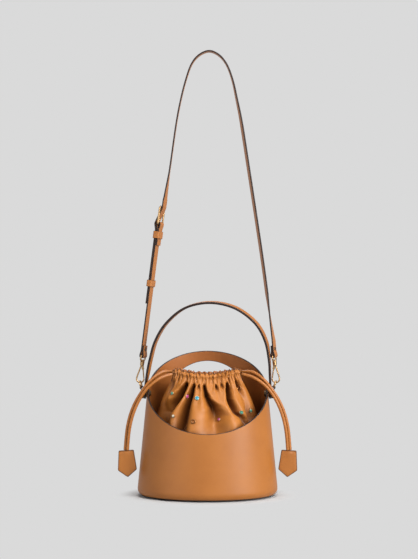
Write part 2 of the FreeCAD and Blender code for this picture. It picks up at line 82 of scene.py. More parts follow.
def catmull(points, per_run=12, closed=False):
    """Smooth curve through the points."""
    pts = [Vector(p) for p in points]
    out = []
    count = len(pts)
    runs = count if closed else count - 1
    for i in range(runs):
        p1, p2 = pts[i], pts[(i + 1) % count]
        p0 = pts[i - 1] if (closed or i > 0) else p1 * 2 - p2
        p3 = pts[(i + 2) % count] if (closed or i + 2 < count) else p2 * 2 - p1
        for k in range(per_run):
            t = k / per_run
            out.append(0.5 * ((2 * p1) + (p2 - p0) * t + (2 * p0 - 5 * p1 + 4 * p2 - p3) * t * t
                              + (3 * p1 - 3 * p2 + p3 - p0) * t * t * t))
    if not closed:
        out.append(pts[-1].copy())
    return out


def resample(points, step, closed=False):
    """Even spacing along a polyline."""
    pts = list(points) + ([points[0]] if closed else [])
    run = [0.0]
    for a, b in zip(pts, pts[1:]):
        run.append(run[-1] + (b - a).length)
    count = max(2, round(run[-1] / step))
    out = []
    j = 0
    last = count if closed else count + 1
    for i in range(last):
        s = run[-1] * i / count
        while j < len(run) - 2 and run[j + 1] < s:
            j += 1
        out.append(pts[j].lerp(pts[j + 1], (s - run[j]) / max(run[j + 1] - run[j], 1e-9)))
    return out


def rounded(points, radii, step=0.8):
    """Straight runs joined by arcs, as an evenly spaced polyline."""
    pts = [Vector(p) for p in points]
    out = [pts[0]]
    for i in range(1, len(pts) - 1):
        back = (pts[i - 1] - pts[i]).normalized()
        ahead = (pts[i + 1] - pts[i]).normalized()
        half = (math.pi - back.angle(ahead)) / 2
        radius = radii[i - 1]
        way = (back + ahead).normalized()
        centre = pts[i] + way * (radius / math.cos(half))
        first = pts[i] + back * radius * math.tan(half) - centre
        last = pts[i] + ahead * radius * math.tan(half) - centre
        turn = 2 * half
        for k in range(9):
            t = k / 8
            spoke = (first * math.sin((1 - t) * turn) + last * math.sin(t * turn)) / math.sin(turn)
            out.append(centre + spoke)
    out.append(pts[-1])
    return resample(out, step)


def make_mesh(name, verts, faces, mats, indices=None, body="bag", replaces=(), slot="tan_leather",
              smooth_shade=True):
    mesh = bpy.data.meshes.new(name)
    mesh.from_pydata([tuple(Vector(v) * MM) for v in verts], [], faces)
    for mat in mats:
        mesh.materials.append(mat)
    if indices is not None:
        mesh.polygons.foreach_set("material_index", indices)
    mesh.polygons.foreach_set("use_smooth", [smooth_shade] * len(mesh.polygons))
    mesh.update()
    obj = bpy.data.objects.new(name, mesh)
    bpy.context.scene.collection.objects.link(obj)
    if body:
        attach(obj, body)
    if replaces:
        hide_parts(*replaces)
    return obj


def bake(obj):
    """Makes the modifiers' result the piece's own mesh."""
    deps = bpy.context.evaluated_depsgraph_get()
    mesh = bpy.data.meshes.new_from_object(obj.evaluated_get(deps), depsgraph=deps)
    obj.modifiers.clear()
    obj.data = mesh


# ---------------------------------------------------------------- materials
def new_material(name):
    mat = bpy.data.materials.new(name)
    mat.use_nodes = True
    tree = mat.node_tree
    return mat, tree, tree.nodes["Principled BSDF"]


def leather(name, deep, light, roughness=0.42, grain=0.00011, grain_size=0.8, mottle=18.0, streak=0.35,
            spec=0.5, painted_fold_shade=1.0):
    """Dyed leather: soft tonal clouds, fine pores, pebbled grain and a slightly uneven polish.

    The last argument, below 1, is how much of its colour stays deep in a fold or a corner: painted shade, the
    colour darkened by ambient occlusion.
    """
    mat, tree, shader = new_material(name)
    nodes, links = tree.nodes, tree.links
    coord = nodes.new("ShaderNodeTexCoord")
    cloud = nodes.new("ShaderNodeTexNoise")
    cloud.inputs["Scale"].default_value = mottle
    cloud.inputs["Detail"].default_value = 5
    cloud.inputs["Roughness"].default_value = 0.6
    links.new(coord.outputs["Object"], cloud.inputs["Vector"])
    pores = nodes.new("ShaderNodeTexNoise")
    pores.inputs["Scale"].default_value = 900 / grain_size
    pores.inputs["Detail"].default_value = 3
    links.new(coord.outputs["Object"], pores.inputs["Vector"])
    ramp = nodes.new("ShaderNodeValToRGB")
    ramp.color_ramp.elements[0].position = 0.32
    ramp.color_ramp.elements[0].color = (*deep, 1)
    ramp.color_ramp.elements[1].position = 0.68
    ramp.color_ramp.elements[1].color = (*light, 1)
    links.new(cloud.outputs["Fac"], ramp.inputs["Fac"])
    speck = nodes.new("ShaderNodeMix")
    speck.data_type = "RGBA"
    speck.blend_type = "MULTIPLY"
    pore_tone = nodes.new("ShaderNodeMapRange")
    pore_tone.inputs["From Min"].default_value = 0.3
    pore_tone.inputs["From Max"].default_value = 0.6
    pore_tone.inputs["To Min"].default_value = streak
    pore_tone.inputs["To Max"].default_value = 0.0
    links.new(pores.outputs["Fac"], pore_tone.inputs["Value"])
    links.new(pore_tone.outputs["Result"], speck.inputs["Factor"])
    links.new(ramp.outputs["Color"], speck.inputs["A"])
    speck.inputs["B"].default_value = (0.62, 0.5, 0.42, 1)
    colour = speck.outputs["Result"]
    # Painted shade: ambient occlusion darkens the colour in folds, corners and recesses.
    if painted_fold_shade < 1.0:
        open_sky = nodes.new("ShaderNodeAmbientOcclusion")
        open_sky.inputs["Distance"].default_value = 0.035
        shade_depth = nodes.new("ShaderNodeMapRange")
        shade_depth.inputs["From Min"].default_value = 0.30
        shade_depth.inputs["From Max"].default_value = 0.80
        shade_depth.inputs["To Min"].default_value = 1.0 - painted_fold_shade
        shade_depth.inputs["To Max"].default_value = 0.0
        links.new(open_sky.outputs["AO"], shade_depth.inputs["Value"])
        shade = nodes.new("ShaderNodeMix")
        shade.data_type = "RGBA"
        shade.blend_type = "MULTIPLY"
        shade.inputs["B"].default_value = (0.22, 0.14, 0.09, 1)
        links.new(shade_depth.outputs["Result"], shade.inputs["Factor"])
        links.new(colour, shade.inputs["A"])
        colour = shade.outputs["Result"]
    links.new(colour, shader.inputs["Base Color"])
    polish = nodes.new("ShaderNodeMapRange")
    polish.inputs["To Min"].default_value = roughness - 0.06
    polish.inputs["To Max"].default_value = roughness + 0.08
    links.new(cloud.outputs["Fac"], polish.inputs["Value"])
    links.new(polish.outputs["Result"], shader.inputs["Roughness"])
    shader.inputs["Specular IOR Level"].default_value = spec
    pebble = nodes.new("ShaderNodeTexVoronoi")
    pebble.inputs["Scale"].default_value = 1000 / grain_size
    links.new(coord.outputs["Object"], pebble.inputs["Vector"])
    total = nodes.new("ShaderNodeMath")
    total.operation = "ADD"
    links.new(pebble.outputs["Distance"], total.inputs[0])
    links.new(pores.outputs["Fac"], total.inputs[1])
    bump = nodes.new("ShaderNodeBump")
    bump.inputs["Strength"].default_value = 0.5
    bump.inputs["Distance"].default_value = grain
    links.new(total.outputs[0], bump.inputs["Height"])
    links.new(bump.outputs["Normal"], shader.inputs["Normal"])
    return mat


def metal(name, colour, roughness):
    mat, tree, shader = new_material(name)
    nodes, links = tree.nodes, tree.links
    coord = nodes.new("ShaderNodeTexCoord")
    scratch = nodes.new("ShaderNodeTexNoise")
    scratch.inputs["Scale"].default_value = 700
    scratch.inputs["Detail"].default_value = 4
    links.new(coord.outputs["Object"], scratch.inputs["Vector"])
    polish = nodes.new("ShaderNodeMapRange")
    polish.inputs["To Min"].default_value = roughness * 0.7
    polish.inputs["To Max"].default_value = roughness * 1.4
    links.new(scratch.outputs["Fac"], polish.inputs["Value"])
    links.new(polish.outputs["Result"], shader.inputs["Roughness"])
    tone = nodes.new("ShaderNodeMix")
    tone.data_type = "RGBA"
    tone.inputs["A"].default_value = (*colour, 1)
    tone.inputs["B"].default_value = (*[c * 0.86 for c in colour], 1)
    links.new(scratch.outputs["Fac"], tone.inputs["Factor"])
    links.new(tone.outputs["Result"], shader.inputs["Base Color"])
    shader.inputs["Metallic"].default_value = 1.0
    return mat


def stone(name, colour):
    mat, tree, shader = new_material(name)
    nodes, links = tree.nodes, tree.links
    facing = nodes.new("ShaderNodeTexVoronoi")
    facing.inputs["Scale"].default_value = 520
    coord = nodes.new("ShaderNodeTexCoord")
    links.new(coord.outputs["Object"], facing.inputs["Vector"])
    ramp = nodes.new("ShaderNodeMix")
    ramp.data_type = "RGBA"
    ramp.inputs["A"].default_value = (*[min(1.0, c * 1.6 + 0.06) for c in colour], 1)
    ramp.inputs["B"].default_value = (*[c * 0.55 for c in colour], 1)
    links.new(facing.outputs["Distance"], ramp.inputs["Factor"])
    links.new(ramp.outputs["Result"], shader.inputs["Base Color"])
    shader.inputs["Roughness"].default_value = 0.06
    shader.inputs["IOR"].default_value = 1.62
    shader.inputs["Coat Weight"].default_value = 0.8
    shader.inputs["Coat Roughness"].default_value = 0.03
    return mat


TAN = leather("tan_smooth", (0.288, 0.094, 0.0118), (0.335, 0.114, 0.0160), 0.45, streak=0.12, spec=0.42)
# The pouch and inner leathers carry painted shade, darker in their folds and corners.
POUCH = leather("pouch_nappa", (0.330, 0.112, 0.0150), (0.390, 0.138, 0.0215), 0.47,
                grain=0.00014, grain_size=0.9, mottle=26.0, streak=0.16, spec=0.36, painted_fold_shade=0.15)
INNER = leather("inner_tan", (0.300, 0.094, 0.0170), (0.350, 0.114, 0.0220), 0.5,
                grain=0.00010, grain_size=0.7, mottle=22.0, streak=0.14, spec=0.4, painted_fold_shade=0.3)
CORD_SKIN = leather("cord_skin", (0.300, 0.100, 0.0150), (0.360, 0.124, 0.0210), 0.42,
                    grain=0.00010, grain_size=0.6, mottle=60.0, streak=0.14, spec=0.42)
EDGE_SOFT = leather("edge_brown", (0.085, 0.028, 0.0060), (0.110, 0.036, 0.0080), 0.5,
                    grain=0.00008, grain_size=1.6, mottle=90.0, streak=0.0, spec=0.3)
EDGE = leather("edge_paint", (0.012, 0.0045, 0.0025), (0.018, 0.0065, 0.0036), 0.42,
               grain=0.00008, grain_size=1.6, mottle=90.0, streak=0.0, spec=0.3)
THREAD = leather("thread", (0.200, 0.075, 0.0190), (0.250, 0.096, 0.0260), 0.7, 0.00006, 0.25, 200.0, 0.2)
GOLD = metal("pale_gold_metal", (0.44, 0.275, 0.13), 0.32)
COPPER = metal("copper_ring", (0.34, 0.15, 0.055), 0.34)
# Dark brass for the rivets: painted shade, standing in for the shade they sit in.
SHADED_BRASS = metal("brass_painted_shade", (0.115, 0.070, 0.038), 0.38)
BOARD = leather("grey_board", (0.20, 0.16, 0.12), (0.24, 0.19, 0.14), 0.8, 0.0001, 1.0)
STONES = {
    "stones_green": stone("green_glass", (0.03, 0.17, 0.11)),
    "stones_magenta": stone("magenta_glass", (0.34, 0.02, 0.15)),
    "stones_turquoise": stone("turquoise_glass", (0.02, 0.24, 0.32)),
    "stones_clear": stone("clear_glass", (0.34, 0.28, 0.19)),
}


# ---------------------------------------------------------------- bucket wall
def half_x(z):
    return BASE_HALF_X - TAPER * (z - WIDEST_Z)


def half_y(z):
    return BASE_HALF_Y - TAPER * (z - WIDEST_Z)


def wall_point(theta, z, inset=0.0):
    return Vector(((half_x(z) - inset) * math.cos(theta), (half_y(z) - inset) * math.sin(theta), z))


def rim_height(theta):
    z = RIM_Z
    for _ in range(8):
        z = RIM_Z + RIM_SLOPE * half_y(z) * math.sin(theta)
    return z


HOLE_X = 44.0
HOLE_TOP = (142.9, 73.0)
HOLE_LOW = (264.0, 76.5)


def hole_height(theta, upper):
    """Height of the hand hole's edge at an angle."""
    z = 200.0
    for _ in range(8):
        x = min(abs(half_x(z) * math.cos(theta)), HOLE_X)
        centre, radius = HOLE_TOP if upper else HOLE_LOW
        side = 1 if upper else -1
        z = centre + side * math.sqrt(radius * radius - x * x)
    return z


def bucket():
    corner = math.acos(HOLE_X / half_x(201.0))
    thetas = [corner + (math.pi - 2 * corner) * (i / 40) for i in range(41)]
    span = 2 * math.pi - (math.pi - 2 * corner)
    thetas += [math.pi - corner + span * (i / 130) for i in range(1, 130)]
    count = len(thetas)
    in_hole = 41
    corner_ratio = 0.5 * (hole_height(corner, True) + hole_height(corner, False)) / rim_height(corner)
    profile = [(24.0, 0.0), (18.0, 0.0), (CORNER, 0.0)]
    for k in range(1, 10):
        a = math.radians(10 * k)
        profile.append((CORNER * (1 - math.sin(a)), CORNER * (1 - math.cos(a))))
    low_rows, top_rows = 26, 10
    verts, faces = [], []
    grid = []

    def add(v):
        verts.append(v)
        return len(verts) - 1

    for inset, z in profile:
        grid.append([add(wall_point(t, z, inset)) for t in thetas])
    for r in range(1, low_rows + 1):
        row = []
        for i, t in enumerate(thetas):
            top = hole_height(t, False) if i < in_hole else rim_height(t) * corner_ratio
            row.append(add(wall_point(t, mix(CORNER, top, r / low_rows))))
        grid.append(row)
    upper_grid = []
    for r in range(top_rows + 1):
        row = []
        for i, t in enumerate(thetas):
            edge = i == 0 or i == in_hole - 1
            if r == 0 and (i >= in_hole or edge):
                row.append(grid[-1][i])
                continue
            if i < in_hole:
                bottom = hole_height(t, True)
                if edge:
                    bottom = verts[grid[-1][i]].z
            else:
                bottom = rim_height(t) * corner_ratio
            row.append(add(wall_point(t, mix(bottom, rim_height(t), r / top_rows))))
        upper_grid.append(row)
    for rows in (grid, upper_grid):
        for a, b in zip(rows, rows[1:]):
            for i in range(count):
                j = (i + 1) % count
                faces.append((a[i], a[j], b[j], b[i]))
    # Faces below that height take the dark edge colour: painted shade along the bottom where the base turns
    # under toward the floor.
    index = [2 if max(verts[k].z for k in face) < BASE_SHADE_Z else 0 for face in faces]
    obj = make_mesh("bucket_wall", verts, faces, [TAN, INNER, EDGE], index,
                    replaces=("bucket_shell", "bucket_lining"))
    skin = obj.modifiers.new("skin", "SOLIDIFY")
    skin.thickness = WALL * MM
    skin.offset = -1
    skin.use_even_offset = True
    skin.material_offset = 1
    skin.material_offset_rim = 2
    round_edge = obj.modifiers.new("round", "BEVEL")
    round_edge.width = 0.9 * MM
    round_edge.segments = 3
    round_edge.limit_method = "ANGLE"
    round_edge.angle_limit = math.radians(50)
    round_edge.material = 2
    round_edge.harden_normals = False
    bake(obj)
    return obj


bucket()

# ---------------------------------------------------------------- pouch
# height, half width, half depth, dip of the ring at the middle of front and back
POUCH_RINGS = [
    (6.0, 92, 67, 0), (30, 97, 71, 0), (60, 98, 73, 0), (90, 94.5, 71, 0), (112, 88.5, 66, 0.5),
    (135, 81, 58.5, 1.5), (155, 74, 49, 2.5), (172, 66.5, 38.5, 4.5), (184, 59.5, 29, 7), (192, 54, 21.5, 9),
    (198, 51.2, 18.2, 9.5), (201.5, 51.5, 18.4, 9.5), (205.5, 54.0, 21, 9.5), (209.2, 55.6, 23.0, 9.6),
]
NECK_Z = 199.0
POUCH_X = -1.0
CASING_COVER = 6.6
# Valleys between the falling folds. Each is a line of (distance below the neck, side position, depth, width);
# a depth below zero is a swelling.
FRONT_FOLDS = [
    [(0, -0.90, 4, 0.04), (30, -0.96, 6, 0.05), (70, -0.97, 6, 0.06), (120, -0.95, 2, 0.08)],
    [(0, -0.56, 4, 0.035), (14, -0.58, 16, 0.050), (35, -0.69, 25, 0.085), (48, -0.78, 25, 0.095),
     (62, -0.86, 20, 0.10), (130, -0.92, 4, 0.1)],
    [(0, -0.36, 3, 0.030), (14, -0.36, 12, 0.040), (36, -0.42, 20, 0.060), (72, -0.50, 22, 0.10),
     (140, -0.60, 4, 0.1)],
    [(0, -0.08, 2, 0.030), (16, -0.06, 11, 0.035), (34, 0.00, 17, 0.060), (50, 0.13, 19, 0.12),
     (64, 0.20, 19, 0.18), (80, 0.19, 14, 0.20), (100, 0.18, 9, 0.22), (140, 0.18, 3, 0.22)],
    [(0, 0.58, 3, 0.035), (10, 0.57, 11, 0.040), (24, 0.54, 17, 0.050), (38, 0.525, 18, 0.055),
     (60, 0.59, 13, 0.06), (70, 0.70, 7, 0.06), (100, 0.80, 2, 0.08)],
    [(0, 0.24, 2, 0.025), (12, 0.25, 7, 0.028), (26, 0.27, 1, 0.04), (60, 0.28, 0, 0.06)],
    [(0, 0.40, 2, 0.022), (10, 0.40, 5, 0.028), (22, 0.41, 0, 0.04), (60, 0.4, 0, 0.05)],
    [(0, -0.22, 3, 0.022), (10, -0.22, 6, 0.026), (24, -0.22, 0.5, 0.04), (60, -0.22, 0, 0.05)],
    [(0, 0.84, 4, 0.035), (14, 0.84, 9, 0.045), (40, 0.87, 6, 0.06), (70, 0.90, 10, 0.07),
     (130, 0.92, 3, 0.08)],
    [(52, 0.42, 0, 0.14), (76, 0.44, -8, 0.17), (100, 0.38, -6, 0.18), (140, 0.38, 0, 0.18)],
]
BACK_FOLDS = [
    [(0, -0.85, 4, 0.04), (30, -0.88, 14, 0.07), (80, -0.9, 10, 0.09), (140, -0.9, 3, 0.1)],
    [(0, -0.55, 4, 0.04), (30, -0.58, 16, 0.08), (80, -0.64, 14, 0.11), (140, -0.66, 4, 0.12)],
    [(0, -0.22, 4, 0.03), (22, -0.2, 12, 0.05), (60, -0.12, 18, 0.10), (140, -0.1, 5, 0.12)],
    [(0, 0.12, 3, 0.03), (26, 0.16, 14, 0.06), (80, 0.27, 16, 0.12), (140, 0.3, 4, 0.12)],
    [(0, 0.5, 4, 0.035), (24, 0.52, 15, 0.06), (70, 0.58, 15, 0.10), (140, 0.6, 4, 0.1)],
    [(0, 0.82, 4, 0.04), (30, 0.84, 12, 0.06), (80, 0.86, 10, 0.08), (140, 0.88, 3, 0.1)],
]


def fold_values(line, below):
    """Side position, depth and width of a valley at a distance below the neck."""
    if below <= line[0][0]:
        return line[0][1:]
    for low, high in zip(line, line[1:]):
        if below <= high[0]:
            even = (below - low[0]) / (high[0] - low[0])
            ease = smooth(below, low[0], high[0])
            return mix(low[1], high[1], even), mix(low[2], high[2], ease), mix(low[3], high[3], ease)
    return line[-1][1:]


def ring_values(v):
    """Ring sizes at a place between 0, the bottom, and 1, the mouth."""
    k = v * (len(POUCH_RINGS) - 1)
    i = min(int(k), len(POUCH_RINGS) - 2)
    t = k - i
    p1, p2 = POUCH_RINGS[i], POUCH_RINGS[i + 1]
    p0 = POUCH_RINGS[max(i - 1, 0)]
    p3 = POUCH_RINGS[min(i + 2, len(POUCH_RINGS) - 1)]
    out = []
    for a, b, c, d in zip(p0, p1, p2, p3):
        square = (2 * a - 5 * b + 4 * c - d) * t * t
        cube = (3 * b - 3 * c + d - a) * t ** 3
        out.append(0.5 * (2 * b + (c - a) * t + square + cube))
    return out


def pleats(a, below):
    """Gathers pulled in by the cord: sharp valleys, round ridges, running out down the pouch."""
    drift = 2.4 * noise.noise(Vector((a * 2.3, 4.0, 0.0)))
    drift += 0.7 * noise.noise(Vector((a * 6.0, below * 0.05, 2.0)))
    strength = 1.0 + 0.8 * noise.noise(Vector((a * 8.0, 9.0, 1.0)))
    fine = abs(math.sin(a * 25 + drift)) ** 0.6 - 0.7
    broad = abs(math.sin(a * 11.5 + 0.5 * drift + 0.7)) ** 0.7 - 0.66
    down = max(below - 4, 0)
    fine *= 2.3 * math.exp(-down / 9.0)
    broad *= 3.4 * math.exp(-down / 16.0) * smooth(below, -6, 9)
    return strength * (fine + broad)


def pouch_row(v, angles, cover):
    """One level of the pouch. `cover` is how far the casing stands off over the drawcord."""
    z, sx, sy, dip = ring_values(v)
    below = NECK_Z - z
    lines = [[fold_values(f, below) for f in folds] for folds in (FRONT_FOLDS, BACK_FOLDS)]
    grow = smooth(below, 4, 15)
    calm = smooth(below, 8, 36) * (1 - 0.6 * smooth(below, 90, 150))
    rise = clamp((1 - below) / 9.0)
    row = []
    for a in angles:
        s = math.cos(a)
        p = Vector((POUCH_X + sx * s, sy * math.sin(a), z - dip * math.sin(a) ** 2))
        n = Vector((s / sx, math.sin(a) / sy, 0)).normalized()
        side = smooth(abs(math.sin(a)), 0.0, 0.25)
        wander = 0.02 * noise.noise(Vector((a * 1.7, below * 0.03, 8.0)))
        push = pleats(a, below)
        for centre, depth, width in lines[0 if math.sin(a) < 0 else 1]:
            d = (s + wander - centre) / width
            push -= 1.25 * depth * grow * side * math.exp(-abs(d) ** 1.9)
            push += 0.09 * depth * grow * side * (math.exp(-(d - 2.2) ** 2) + math.exp(-(d + 2.2) ** 2))
        push += 1.7 * calm * noise.noise(Vector((a * 2.6, below * 0.026, 1.3)))
        push += 0.6 * calm * noise.noise(Vector((a * 7.5, below * 0.075, 5.1)))
        if rise > 0:
            curl = noise.noise(Vector((a * 9.0, 4.0, 0.0)))
            push += rise * (1.5 * math.sin(a * 46 + 5 * curl) - 0.7)
            p.z += rise * (0.9 * math.sin(a * 39 + 3 * curl) + 0.5 * math.sin(a * 71))
            p.z -= rise * 5.0 * smooth(abs(s), 0.86, 1.0)
        if below < 1:
            push += cover * math.exp(-((below + 1.5) / 6.4) ** 4)
        else:
            push += cover * (1 - 1.2 * smooth(below, 1, 28))
        row.append(p + n * push)
    return row


def skinned(name, verts, faces, nodes):
    """Soft leather with its flesh side and cut edge."""
    obj = make_mesh(name, verts, faces, [POUCH, INNER, EDGE], replaces=nodes, slot="pouch_leather")
    skin = obj.modifiers.new("skin", "SOLIDIFY")
    skin.thickness = 1.0 * MM
    skin.offset = -1
    skin.material_offset = 1
    skin.material_offset_rim = 2
    bake(obj)
    return obj


def pouch():
    columns, rows = 640, 170
    angles = [2 * math.pi * c / columns for c in range(columns)]
    verts = []
    for r in range(rows + 1):
        verts += pouch_row((r / rows) ** 0.8, angles, 0.0)
    faces = []
    for r in range(rows):
        for c in range(columns):
            d = (c + 1) % columns
            faces.append((r * columns + c, r * columns + d, (r + 1) * columns + d, (r + 1) * columns + c))
    verts.append(Vector((POUCH_X, 0, POUCH_RINGS[0][0])))
    centre = len(verts) - 1
    faces += [(centre, (c + 1) % columns, c) for c in range(columns)]
    return skinned("pouch_soft", verts, faces, ("pouch_body",))


def casing(name, start, end):
    """Gathered sleeve over the drawcord, open at both ends where the cord comes out."""
    columns, rows = 300, 60
    angles = [math.radians(mix(start, end, c / columns)) for c in range(columns + 1)]
    verts = []
    for r in range(rows + 1):
        verts += pouch_row(mix(0.53, 0.985, r / rows), angles, CASING_COVER)
    faces = []
    for r in range(rows):
        for c in range(columns):
            i = r * (columns + 1) + c
            faces.append((i, i + 1, i + columns + 2, i + columns + 1))
    return skinned("casing_soft_" + name, verts, faces, ("cord_casing_" + name,))


pouch_soft = pouch()
SKINS = [pouch_soft, casing("front", 197.0, 343.0)]
casing("back", 17.0, 163.0)


# ---------------------------------------------------------------- leather bands
def band_mesh(name, points, across, width, thick, mats, closed=False, widths=None, **where):
    """Flat leather with rounded painted edges along a polyline; `across` gives its width direction."""
    count = len(points)
    side = thick * 0.5
    profile = []
    steps = 5
    for k in range(steps + 1):
        a = -math.pi / 2 + math.pi * k / steps
        profile.append((1, side * math.cos(a) * 0.55, side * math.sin(a)))
    for f in (0.8, 0.45, 0, -0.45, -0.8):
        profile.append((f, 0, side * 1.0))
    for k in range(steps + 1):
        a = math.pi / 2 + math.pi * k / steps
        profile.append((-1, side * math.cos(a) * 0.55, side * math.sin(a)))
    for f in (-0.8, -0.45, 0, 0.45, 0.8):
        profile.append((f, 0, -side * 1.0))
    ring = len(profile)
    verts, faces, index = [], [], []
    for i, p in enumerate(points):
        if closed:
            way = (points[(i + 1) % count] - points[i - 1]).normalized()
        else:
            way = (points[min(i + 1, count - 1)] - points[max(i - 1, 0)]).normalized()
        w = across(i, p)
        w = (w - way * w.dot(way)).normalized()
        n = w.cross(way).normalized()
        half = (widths[i] if widths else width) / 2 - side * 0.55
        for f, extra, lift in profile:
            verts.append(p + w * (f * half + extra) + n * lift)
    runs = count if closed else count - 1
    painted = set(range(0, steps)) | set(range(steps + 6, 2 * steps + 6))
    for i in range(runs):
        j = (i + 1) % count
        for k in range(ring):
            m = (k + 1) % ring
            faces.append((i * ring + k, j * ring + k, j * ring + m, i * ring + m))
            index.append(2 if k in painted else 0)
    if not closed:
        faces.append(tuple(reversed(range(ring))))
        faces.append(tuple((count - 1) * ring + k for k in range(ring)))
        index += [2, 2]
    obj = make_mesh(name, verts, faces, mats, index, **where)
    split = obj.modifiers.new("crisp", "EDGE_SPLIT")
    split.split_angle = math.radians(50)
    bake(obj)
    return obj


def stitches(name, lines, body, pitch=3.2, length=2.1, radius=0.2):
    """Rows of short threads; each line is a list of (point, outward direction)."""
    verts, faces = [], []
    for line in lines:
        pts = [p for p, _ in line]
        run = [0.0]
        for a, b in zip(pts, pts[1:]):
            run.append(run[-1] + (b - a).length)
        s = pitch * 0.5
        j = 0
        while s < run[-1] - length:
            while j < len(run) - 2 and run[j + 1] < s:
                j += 1
            t = (s - run[j]) / max(run[j + 1] - run[j], 1e-9)
            p = pts[j].lerp(pts[j + 1], t)
            way = (pts[j + 1] - pts[j]).normalized()
            up = line[j][1]
            sidew = way.cross(up).normalized()
            base = len(verts)
            for q, size, lift in ((-0.5, 0.3, -0.8), (-0.3, 1, -0.35), (0.3, 1, -0.35), (0.5, 0.3, -0.8)):
                c = p + way * (q * length) + up * (lift * radius)
                for k in range(6):
                    a = 2 * math.pi * k / 6
                    verts.append(c + (sidew * math.cos(a) + up * math.sin(a)) * radius * size)
            for r in range(3):
                for k in range(6):
                    m = (k + 1) % 6
                    near, far = base + r * 6, base + (r + 1) * 6
                    faces.append((near + k, near + m, far + m, far + k))
            s += pitch
    return make_mesh(name, verts, faces, [THREAD], body=body)


# ---------------------------------------------------------------- hook lines and straps
RING_TOP = Vector((112.2, 0, 186.4))


def line_frame(side, yaw):
    """Local frame of a hook line: x away from the bag, y along the strap width, z up the line."""
    if side == "left":
        place, tilt, turn = Vector((-110.9, 0, 186.5)), 7.3, 180 - yaw
    else:
        place, tilt, turn = RING_TOP, -4.5, -yaw
    turn_z = Matrix.Rotation(math.radians(turn), 4, "Z")
    return Matrix.Translation(place) @ Matrix.Rotation(math.radians(tilt), 4, "Y") @ turn_z


LEFT = line_frame("left", 20.0)
RIGHT = line_frame("right", 20.0)
STRAP_WIDTH = 16.0
STRAP = 2.4
EYE_U = 41.5
HEEL_U = 259.0
FOLD = 2.65
LAYER = 1.25
TAIL = 3.75
LEATHERS = [TAN, INNER, EDGE]


def fold_points(up, tail):
    low = EYE_U - FOLD
    line = [
        (LAYER, up), (LAYER, EYE_U + 8.5), (FOLD, EYE_U + 2), (FOLD, low),
        (-FOLD, low), (-FOLD, EYE_U + 2), (-LAYER, EYE_U + 8.5), (-LAYER, tail),
    ]
    return [Vector((n, 0, u)) for n, u in line]


def constant(direction):
    return lambda i, p: direction


def into(matrix, points):
    return [matrix @ p for p in points]


fold_radii = [8.0, 4.0, FOLD, FOLD, 4.0, 8.0]
short_line = list(reversed(fold_points(70, 58.5)))[:-1]
heel = FOLD + 0.1
heel_line = [
    (LAYER, HEEL_U - 8.5), (heel, HEEL_U - 2), (heel, HEEL_U + heel), (-heel, HEEL_U + heel),
    (-heel, HEEL_U - 2), (-LAYER, HEEL_U - 8.5), (-LAYER, 224.0),
]
short_line += [Vector((n, 0, u)) for n, u in heel_line]
short_path = into(LEFT, rounded(short_line, fold_radii + [8.0, 4.0, heel, heel, 4.0, 8.0]))
left_across = (LEFT.to_3x3() @ Vector((0, 1, 0)))
right_across = (RIGHT.to_3x3() @ Vector((0, 1, 0)))
band_mesh("strap_short_leather", short_path, constant(left_across), STRAP_WIDTH, STRAP, LEATHERS,
          body="strap_loop", replaces=("strap_short",))

tail_line = [(TAIL, 127.3), (TAIL, 250), (6.3, 259.5), (-3.2, 286), (-3.3, 300)]
tail_path = into(LEFT, rounded([Vector((n, 0, u)) for n, u in tail_line], [20, 6, 12]))
right_fold = into(RIGHT, rounded(fold_points(66, 58.5), list(reversed(fold_radii))))
STRAP_LINE = [
    (102.0, 293), (91.5, 372), (80.0, 450), (67.9, 529), (55.6, 608), (48.0, 647), (41.0, 679),
    (31.5, 704.5), (18.5, 720.5), (2.0, 727), (-15.0, 719.5), (-27.0, 704), (-36.4, 677), (-44.4, 645),
    (-51.7, 606), (-61.2, 539),
]
middle = [Vector((x, 0, z)) for x, z in STRAP_LINE]
loop = resample(catmull([right_fold[0]] + middle + [tail_path[-1]], 14), 3.0)
long_path = list(reversed(right_fold)) + loop[1:-1] + list(reversed(tail_path))
fold_count, tail_count = len(right_fold), len(tail_path)


def strap_across(i, p):
    """Width direction of the long strap: turned at the hooks, square to the bag at the top."""
    if i < fold_count:
        return -right_across
    if i >= len(long_path) - tail_count:
        return left_across
    if p.x > 0:
        twist = clamp((p.z - 250.0) / 80.0)
        yaw = mix(20.0, -11.0, twist) * (1 - clamp((p.z - 600.0) / 110.0))
    else:
        yaw = 20.0 * (1 - clamp((p.z - 476.0) / 52.0))
    yaw = math.radians(yaw)
    return Vector((math.sin(yaw), math.cos(yaw), 0)) * -1


def strap_side(i, p):
    w = strap_across(i, p)
    return w if w.y < 0 else -w


band_mesh("strap_long_leather", long_path, strap_side, STRAP_WIDTH, STRAP, LEATHERS,
          body="strap_loop", replaces=("strap_long",))


def edge_lines(path, across, inset, thick, both=True):
    """Stitch lines near both long edges of a band."""
    out = []
    for face in ((1, -1) if both else (1,)):
        for edge in (1, -1):
            line = []
            for i, p in enumerate(path):
                way = (path[min(i + 1, len(path) - 1)] - path[max(i - 1, 0)]).normalized()
                w = across(i, p)
                w = (w - way * w.dot(way)).normalized()
                n = w.cross(way).normalized() * face
                line.append((p + w * edge * inset + n * thick / 2, n))
            out.append(line)
    return out


stitches("strap_stitches", edge_lines(long_path, strap_side, 6.0, STRAP), "strap_loop")
stitches("short_strap_stitches", edge_lines(short_path, constant(left_across), 6.0, STRAP), "strap_loop")


